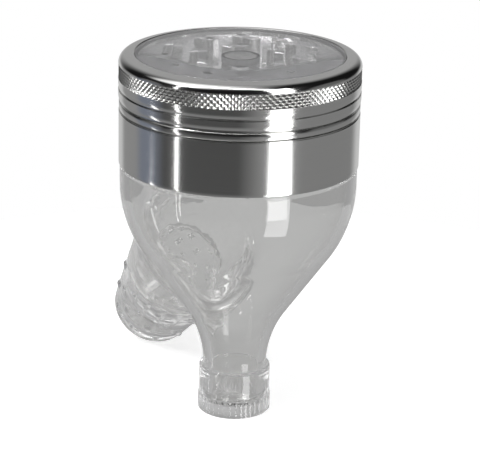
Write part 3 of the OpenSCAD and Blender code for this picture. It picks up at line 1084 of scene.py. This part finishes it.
def soften_flange(obj, low, high):
    """Gives the chamber's flange a crisp upper edge, and a lower edge that curves in.

    The radius falls by the sag times the square of the way down the lip.
    """
    outer_near, low_near, high_near = 0.02 * MM, 0.1 * MM, 0.2 * MM
    drop = 0.03 * MM
    work = bmesh.new()
    work.from_mesh(obj.data)
    for z in np.linspace(low, low + LIP, LIP_ROWS)[1:]:
        bmesh.ops.bisect_plane(work, geom=work.verts[:] + work.edges[:] + work.faces[:],
                               plane_co=(0, 0, z), plane_no=(0, 0, 1))
    work.to_mesh(obj.data)
    work.free()
    points = np.empty(len(obj.data.vertices) * 3)
    obj.data.vertices.foreach_get("co", points)
    points = points.reshape(-1, 3)
    radius = np.hypot(points[:, 0], points[:, 1])
    outer = radius > radius.max() - outer_near
    down = np.clip((low + LIP - points[:, 2]) / LIP, 0, 1) * (points[:, 2] > low - low_near)
    points[:, :2] *= 1 - (outer * SAG * down ** 2 / radius.max())[:, None]
    upper = outer & (points[:, 2] > high - high_near)
    points[upper, 2] = high - drop
    obj.data.vertices.foreach_set("co", points.ravel())
    obj.data.update()


class GRINDER_OT_chamber(bpy.types.Operator):
    """Finish the tooth chamber, its teeth, its post and the teeth under the window"""

    bl_idname = "grinder.chamber"
    bl_label = "Chamber and teeth"

    def execute(self, context):
        # Node, piece, body, slot, finish and the width of its broken edges
        made = (("tooth_chamber", "drilled_chamber", "grinding_chamber", "chamber_aluminium",
                 turned_metal, 0.0),
                ("chamber_teeth", "standing_teeth", "grinding_chamber", "tooth_aluminium",
                 milled_metal, 0.5 * MM),
                ("lid_teeth", "hanging_teeth", "lid", "tooth_aluminium", milled_metal, 0.5 * MM),
                ("centre_post", "middle_post", "grinding_chamber", "post_aluminium",
                 blasted_metal, 0.15 * MM))
        for node, name, body, slot, finish, bevel in made:
            obj = smooth_copy(node, name, finish(), bevel)
            if node == "tooth_chamber":
                soften_flange(obj, BAND_TOP, LID_LOW)
            place(obj, body, [node], slot)
        return {"FINISHED"}


class GRINDER_OT_small_pieces(bpy.types.Operator):
    """Finish the gaskets, liners, magnets, magnet cup and friction ring"""

    bl_idname = "grinder.small_pieces"
    bl_label = "Small pieces"

    def execute(self, context):
        edge = 0.08 * MM
        film = 0.03 * MM
        # Node, piece, body, slot and finish
        made = (("band_seal", "mouth_seal", "glass_vessel", "clear_seal", silicone),
                ("chamber_gasket", "flange_gasket", "chamber_seat", "seal_rubber", rubber),
                ("chamber_magnet", "post_magnet", "grinding_chamber", "magnet_plating", plating),
                ("friction_ring", "nylon_ring", "lid_guide", "white_nylon", nylon),
                ("window_gasket", "window_bedding", "lid", "seal_rubber", rubber),
                ("magnet_cup", "pressed_cup", "lid", "cup_steel", dark_steel),
                ("lid_magnet", "cup_magnet", "lid", "magnet_plating", plating),
                ("neck_cap_liner", "neck_liner", "neck_seat", "clear_seal", silicone),
                ("side_cap_liner", "side_liner", "side_seat", "clear_seal", silicone))
        for node, name, body, slot, finish in made:
            inset = film if finish is silicone else 0.0
            place(smooth_copy(node, name, finish(), edge, inset=inset), body, [node], slot)
        return {"FINISHED"}


# ---- Stage ----

CAMERA_PLACE = (0.00075, -0.5327, 0.2356)
CAMERA_PITCH = math.radians(-19.12)
CAMERA_ROLL = math.radians(1.17)
CAMERA_LENS = 159.6
LAMPS_FACE = Vector((0, 0, 0.07))

# Name, azimuth and elevation in degrees, distance, width and height in metres, radiance
LAMPS = (
    ("softbox head", 39.5, 23, 0.75, 0.27, 0.64, 4.5),
    ("softbox waist", 39.5, -8.2, 0.75, 0.27, 0.22, 0.7),
    ("softbox foot", 39.5, -26.5, 0.75, 0.27, 0.26, 6),
    ("strip", -59.5, 6, 0.8, 0.018, 1.0, 8),
    ("left foot", -91, -28, 0.75, 0.03, 0.2, 4.5),
    ("left spot", -61, 46, 0.7, 0.15, 0.13, 20),
    ("tube", -20, 64, 0.7, 0.9, 0.05, 9),
)

# Plain walls round the low part of the studio: where each starts and ends, by the azimuth in
# degrees to the right of the camera, and its colour, which changes evenly to the next wall's.
# They are a pale back, a left wall, a bluish window, a dark front, a right wall, and the back.
WALLS = (
    (-180, -150, (0.6, 0.6, 0.6)),
    (-140, -115, (0.3, 0.3, 0.3)),
    (-105, -90, (0.2, 0.22, 0.27)),
    (-75, 0, (0.07, 0.07, 0.07)),
    (20, 135, (0.25, 0.25, 0.25)),
    (150, 180, (0.6, 0.6, 0.6)),
)
STUDIO = [(azimuth, colour) for start, end, colour in WALLS for azimuth in (start, end)]

# Brightness of the studio's other parts, as mirrored rays meet them
NEAR_FLOOR = 0.25
DARK_WALLS = 0.008
SIDE_WALLS = 0.14
BACK_WALL = 0.40
PANEL = 1.2
# Brightness of the room behind clear pieces, level, up high and overhead
SEEN_THROUGH = 0.355
SKY_THROUGH = 0.6
CEILING_THROUGH = 1.5
# The part of a mirrored ray that counts as seen through, once it has passed through glass
BEHIND_GLASS = 0.8
# Where each part of the studio starts and ends, as parts of a unit direction:
# x to the right, y to the back and z up
LOW_TO_WALLS = (-0.12, 0.08)
LOW_TO_FLOOR = (-0.36, -0.50)
LEFT_WALL_X = (-0.955, -0.985)
RIGHT_WALL_X = (0.88, 0.95)
BACK_WALL_Y = (0.1, 0.5)
BACK_WALL_RIGHT = (0.6, 0.15)
BACK_WALL_LEFT = (-0.8, -0.2)
PANEL_Z = (0.46, 0.64)
PANEL_FRONT = (-0.72, -0.45)
PANEL_BACK = (0.42, 0.0)
PANEL_RIGHT = (0.45, -0.35)
SKY_Z = (0.2, 0.6)
CEILING_Z = (0.72, 0.8)
# The round floor, its glow to the camera and through glass, and its colour to each
FLOOR_R = 0.17
FLOOR_Z = -0.05 * MM
FLOOR_COLUMNS = 96
FLOOR_GLOW = 0.70
FLOOR_GLOW_THROUGH = 0.36
FLOOR_COLOUR = 0.8
FLOOR_COLOUR_THROUGH = 0.12
BOUNCES = 96


def make_camera(scene):
    """A long lens from the front, looking down on the window."""
    data = bpy.data.cameras.new("camera")
    data.lens = CAMERA_LENS
    data.sensor_width = 36
    data.clip_start = 0.01
    camera = bpy.data.objects.new("camera", data)
    scene.collection.objects.link(camera)
    look = Matrix.Rotation(math.pi / 2 + CAMERA_PITCH, 4, "X")
    camera.matrix_world = Matrix.Translation(CAMERA_PLACE) @ look @ Matrix.Rotation(CAMERA_ROLL, 4, "Z")
    scene.camera = camera


def make_lamp(scene, name, azimuth, elevation, distance, width, height, radiance):
    """A flat lamp that faces the object, at an azimuth to the right of the camera."""
    data = bpy.data.lights.new(name, "AREA")
    data.shape = "RECTANGLE"
    data.size = width
    data.size_y = height
    data.energy = radiance * math.pi * width * height
    lamp = bpy.data.objects.new(name, data)
    scene.collection.objects.link(lamp)
    a, e = math.radians(azimuth), math.radians(elevation)
    away = Vector((math.sin(a) * math.cos(e), -math.cos(a) * math.cos(e), math.sin(e)))
    lamp.location = LAMPS_FACE + away * distance
    lamp.rotation_euler = away.to_track_quat("Z", "Y").to_euler()
    lamp.visible_camera = False


def step_of(tree, value, ends):
    """A value's smooth step from 0 at the first end to 1 at the second."""
    start, end = ends
    node = add(tree, "ShaderNodeMapRange", {
        "Value": value, "From Min": min(start, end), "From Max": max(start, end),
        "To Min": float(start > end), "To Max": float(start < end)},
        interpolation_type="SMOOTHSTEP")
    return node.outputs["Result"]


def ray_kinds(tree):
    """Three outputs: 1 on camera rays, on rays through glass, and on mirrored rays.

    A ray that is mirrored behind glass counts mostly as one through glass.
    """
    paths = add(tree, "ShaderNodeLightPath")
    behind = product(tree, BEHIND_GLASS, maths(tree, "MINIMUM", paths.outputs["Transmission Depth"], 1))
    through = maths(tree, "MAXIMUM", paths.outputs["Is Transmission Ray"], behind)
    mirrored = product(tree, paths.outputs["Is Glossy Ray"], maths(tree, "SUBTRACT", 1, through))
    return paths.outputs["Is Camera Ray"], through, mirrored


def grey(level):
    """An opaque grey."""
    return opaque((level, level, level))


def low_studio(tree, x, y):
    """The low part of the studio: a ramp round the azimuth of the direction."""
    azimuth = maths(tree, "ARCTAN2", x, product(tree, y, -1))
    turned = add(tree, "ShaderNodeMapRange", {
        "Value": azimuth, "From Min": -math.pi, "From Max": math.pi})
    ramp = add(tree, "ShaderNodeValToRGB", {"Fac": turned.outputs["Result"]})
    stops = ramp.color_ramp.elements
    stops.remove(stops[1])
    for i, (degrees, colour) in enumerate(STUDIO):
        at = degrees / 360 + 0.5
        stop = stops[0] if i == 0 else stops.new(at)
        stop.position = at
        stop.color = opaque(colour)
    return ramp.outputs["Color"]


def make_world(scene):
    """A studio that is white to the camera, grey behind glass, and a room to mirrored rays.

    The room is dark in front and pale behind, with side walls and a bright panel overhead.
    What is seen through glass grows brighter upwards and brightest overhead.
    """
    world = bpy.data.worlds.new("studio")
    scene.world = world
    world.use_nodes = True
    tree = world.node_tree
    direction = add(tree, "ShaderNodeTexCoord").outputs["Generated"]
    x, y, z = add(tree, "ShaderNodeSeparateXYZ", {0: direction}).outputs
    back = product(tree, step_of(tree, y, BACK_WALL_Y), step_of(tree, x, BACK_WALL_RIGHT),
                   step_of(tree, x, BACK_WALL_LEFT))
    side = maths(tree, "ADD", step_of(tree, x, LEFT_WALL_X), step_of(tree, x, RIGHT_WALL_X))
    panel = product(tree, step_of(tree, z, PANEL_Z), step_of(tree, y, PANEL_FRONT),
                    step_of(tree, y, PANEL_BACK), step_of(tree, x, PANEL_RIGHT))
    walls = colour_mix(tree, side, grey(DARK_WALLS), grey(SIDE_WALLS))
    walls = colour_mix(tree, back, walls, grey(BACK_WALL))
    low = colour_mix(tree, step_of(tree, z, LOW_TO_FLOOR), low_studio(tree, x, y), grey(NEAR_FLOOR))
    room = colour_mix(tree, step_of(tree, z, LOW_TO_WALLS), low, walls)
    room = colour_mix(tree, panel, room, grey(PANEL))
    behind = colour_mix(tree, step_of(tree, z, SKY_Z), grey(SEEN_THROUGH), grey(SKY_THROUGH))
    behind = colour_mix(tree, step_of(tree, z, CEILING_Z), behind, grey(CEILING_THROUGH))
    camera, through, _ = ray_kinds(tree)
    studio = colour_mix(tree, camera, colour_mix(tree, through, room, behind), grey(1.0))
    feed(tree, tree.nodes["Background"], {"Color": studio})


def make_floor():
    """A round pale floor that stays near white and keeps the object's shadow.

    Its own glow is what the camera and glass see of the pale background. Mirrored rays pass
    it and meet the low part of the studio, which stands for a bench that goes on further.
    """
    angle = np.arange(FLOOR_COLUMNS) * TURN / FLOOR_COLUMNS
    points = np.stack([FLOOR_R * np.cos(angle), FLOOR_R * np.sin(angle),
                       np.full(FLOOR_COLUMNS, FLOOR_Z)], -1)
    mat = bpy.data.materials.new("pale floor")
    mat.use_nodes = True
    tree = mat.node_tree
    tree.nodes.clear()
    camera, through, mirrored = ray_kinds(tree)
    strength = maths(tree, "ADD", product(tree, camera, FLOOR_GLOW),
                     product(tree, through, FLOOR_GLOW_THROUGH))
    colour = colour_mix(tree, camera, grey(FLOOR_COLOUR_THROUGH), grey(FLOOR_COLOUR))
    glow = add(tree, "ShaderNodeEmission", {"Strength": strength})
    matt = add(tree, "ShaderNodeBsdfDiffuse", {"Color": colour})
    both = add(tree, "ShaderNodeAddShader", {0: glow.outputs[0], 1: matt.outputs[0]})
    gone = add(tree, "ShaderNodeBsdfTransparent")
    mixed = add(tree, "ShaderNodeMixShader", {0: mirrored, 1: both.outputs[0], 2: gone.outputs[0]})
    add(tree, "ShaderNodeOutputMaterial", {"Surface": mixed.outputs[0]})
    piece_from("floor", points, [list(range(FLOOR_COLUMNS))], [mat])


class GRINDER_OT_stage(bpy.types.Operator):
    """Set up the camera, the lamps, the studio and the floor"""

    bl_idname = "grinder.stage"
    bl_label = "Stage"

    def execute(self, context):
        scene = context.scene
        scene.view_settings.view_transform = "Standard"
        scene.cycles.max_bounces = BOUNCES
        scene.cycles.glossy_bounces = BOUNCES
        scene.cycles.transmission_bounces = BOUNCES
        make_camera(scene)
        for lamp in LAMPS:
            make_lamp(scene, *lamp)
        make_world(scene)
        make_floor()
        return {"FINISHED"}


# ---- Panel and registration ----

PIECES = (
    GRINDER_OT_stage, GRINDER_OT_vessel, GRINDER_OT_neck_cap, GRINDER_OT_side_cap,
    GRINDER_OT_lid_ring, GRINDER_OT_window, GRINDER_OT_band, GRINDER_OT_chamber,
    GRINDER_OT_small_pieces,
)


class GRINDER_PT_panel(bpy.types.Panel):
    """Lists the grinder's sizes, colours and pieces."""

    bl_idname = "GRINDER_PT_panel"
    bl_label = "Glass Vessel Grinder"
    bl_space_type = "VIEW_3D"
    bl_region_type = "UI"
    bl_category = "Grinder"

    def draw(self, context):
        for title, group in (("Sizes", sizes()), ("Colours", colours())):
            box = self.layout.box()
            box.label(text=title)
            for name in group.__annotations__:
                box.prop(group, name)
        for piece in PIECES:
            self.layout.operator(piece.bl_idname)


CLASSES = (GrinderSizes, GrinderColours, *PIECES, GRINDER_PT_panel)


def register():
    """Registers the classes and hangs the two groups on the scene."""
    for cls in CLASSES:
        bpy.utils.register_class(cls)
    bpy.types.Scene.grinder_sizes = bpy.props.PointerProperty(type=GrinderSizes)
    bpy.types.Scene.grinder_colours = bpy.props.PointerProperty(type=GrinderColours)


def unregister():
    """Takes the two groups and the classes away again."""
    del bpy.types.Scene.grinder_colours
    del bpy.types.Scene.grinder_sizes
    for cls in reversed(CLASSES):
        bpy.utils.unregister_class(cls)


def main():
    """Builds every piece."""
    register()
    for piece in PIECES:
        group, name = piece.bl_idname.split(".")
        getattr(getattr(bpy.ops, group), name)()


if __name__ == "__main__":
    main()
